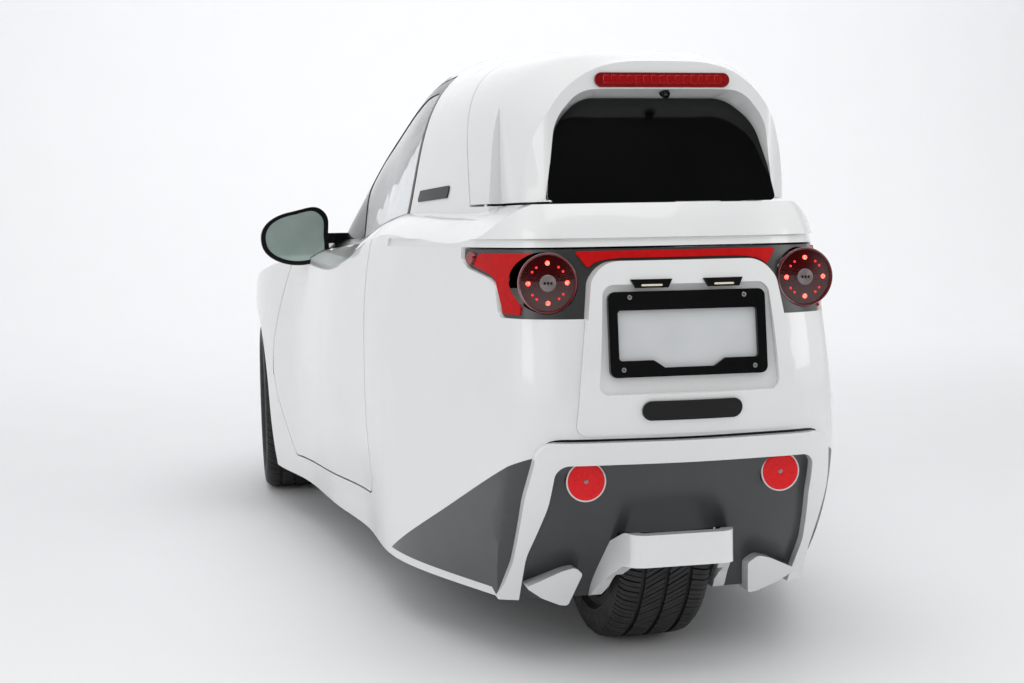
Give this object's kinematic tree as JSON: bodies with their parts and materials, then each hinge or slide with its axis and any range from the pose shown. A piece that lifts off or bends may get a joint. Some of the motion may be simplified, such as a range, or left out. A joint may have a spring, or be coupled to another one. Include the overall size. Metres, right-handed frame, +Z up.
{
  "type": "three wheeled car",
  "caption": "Single-seat electric car with two steered front wheels, one rear wheel, side doors, rear hatch, bonnet and a dark lamp band round its tail.",
  "frame": {"origin": "middle of the car's overall box, on the floor that the wheels stand on", "axes": "+Y towards the rear, +X to the car's left, +Z up"},
  "size_m": [1.507, 3.0929, 1.3449],
  "materials": {
    "body_white": "gloss white paint",
    "trim_dark": "satin dark grey",
    "trim_black": "gloss black",
    "clear_glass": "clear safety glass",
    "dark_glass": "dark tinted glass",
    "red_lens": "red lens",
    "clear_lens": "clear lens",
    "plate_blank": "blank plate",
    "tyre": "road tyre",
    "alloy": "cast and turned alloy",
    "steel": "turned steel",
    "black_steel": "black paint",
    "grey_panel": "grey composite",
    "seat_cover": "black seat fabric",
    "cabin_plastic": "grained black"
  },
  "bodies": {
    "chassis": {"front_body": "body_white", "upper_body": "body_white", "lower_body": "body_white", "tail_band": "trim_dark", "bumper_panel": "trim_dark", "bumper_frame": "body_white", "rear_arch_hood": "body_white", "bumper_fins": "body_white", "reflectors": "red_lens", "plate_hood": "body_white", "plate_frame": "trim_black", "number_plate": "plate_blank", "tail_badge": "trim_black", "tail_lamps": "red_lens", "windscreen": "clear_glass", "headlamps": "clear_lens", "front_grille": "trim_dark", "front_suspension": "black_steel", "floor_tray": "grey_panel", "rear_tray": "grey_panel", "wheel_housings": "trim_dark", "battery": "grey_panel", "drive_unit": "steel", "swing_arm": "black_steel", "seat_base": "seat_cover", "seat_back": "seat_cover", "dashboard": "cabin_plastic", "windscreen_frame": "trim_black", "quarter_badges": "trim_black", "marker_lamps": "red_lens", "tail_inserts": "red_lens"},
    "door_left": {"door_left": "body_white", "door_frame_left": "trim_black", "door_glass_left": "clear_glass", "mirror_left": "trim_black"},
    "door_right": {"door_right": "body_white", "door_frame_right": "trim_black", "door_glass_right": "clear_glass", "mirror_right": "trim_black"},
    "hatch": {"hatch": "body_white", "rear_glass": "dark_glass", "high_brake_lamp": "red_lens"},
    "bonnet": {"bonnet": "body_white"},
    "knuckle_left": {"knuckle_left": "steel"},
    "knuckle_right": {"knuckle_right": "steel"},
    "front_wheel_left": {"front_tyre_left": "tyre", "front_rim_left": "alloy", "brake_disc_left": "steel"},
    "front_wheel_right": {"front_tyre_right": "tyre", "front_rim_right": "alloy", "brake_disc_right": "steel"},
    "rear_wheel": {"rear_tyre": "tyre", "rear_rim": "alloy"},
    "steering_wheel": {"steering_wheel": "cabin_plastic"}
  },
  "joints": [
    {"name": "door_left_hinge", "type": "hinge", "parent": "chassis", "child": "door_left", "pos_m": [0.708, -0.514, 0.5], "axis": [0, 0, -1], "range_deg": [0, 62]},
    {"name": "door_right_hinge", "type": "hinge", "parent": "chassis", "child": "door_right", "pos_m": [-0.708, -0.514, 0.5], "axis": [0, 0, 1], "range_deg": [0, 62]},
    {"name": "hatch_hinge", "type": "hinge", "parent": "chassis", "child": "hatch", "pos_m": [0, 0.961, 1.297], "axis": [1, 0, 0], "range_deg": [0, 65]},
    {"name": "bonnet_hinge", "type": "hinge", "parent": "chassis", "child": "bonnet", "pos_m": [0, -0.627, 0.912], "axis": [-1, 0, 0], "range_deg": [0, 55]},
    {"name": "steer_left", "type": "hinge", "parent": "chassis", "child": "knuckle_left", "pos_m": [0.562, -0.97, 0.294], "axis": [0, 0, 1], "range_deg": [-30, 30]},
    {"name": "steer_right", "type": "hinge", "parent": "chassis", "child": "knuckle_right", "pos_m": [-0.562, -0.97, 0.294], "axis": [0, 0, 1], "range_deg": [-30, 30]},
    {"name": "steering_wheel_turn", "type": "hinge", "parent": "chassis", "child": "steering_wheel", "pos_m": [0, -0.1276, 0.7804], "axis": [0, 0.9272, 0.3746], "range_deg": [-360, 360]},
    {"name": "front_left_spin", "type": "hinge", "parent": "knuckle_left", "child": "front_wheel_left", "pos_m": [0.64, -0.97, 0.294], "axis": [1, 0, 0], "continuous": true},
    {"name": "front_right_spin", "type": "hinge", "parent": "knuckle_right", "child": "front_wheel_right", "pos_m": [-0.64, -0.97, 0.294], "axis": [1, 0, 0], "continuous": true},
    {"name": "rear_spin", "type": "hinge", "parent": "chassis", "child": "rear_wheel", "pos_m": [0, 1.09, 0.298], "axis": [1, 0, 0], "continuous": true}
  ],
  "couplings": [
    {"joint": "steer_right", "follows": "steer_left", "ratio": 1},
    {"joint": "steering_wheel_turn", "follows": "steer_left", "ratio": 12}
  ]
}
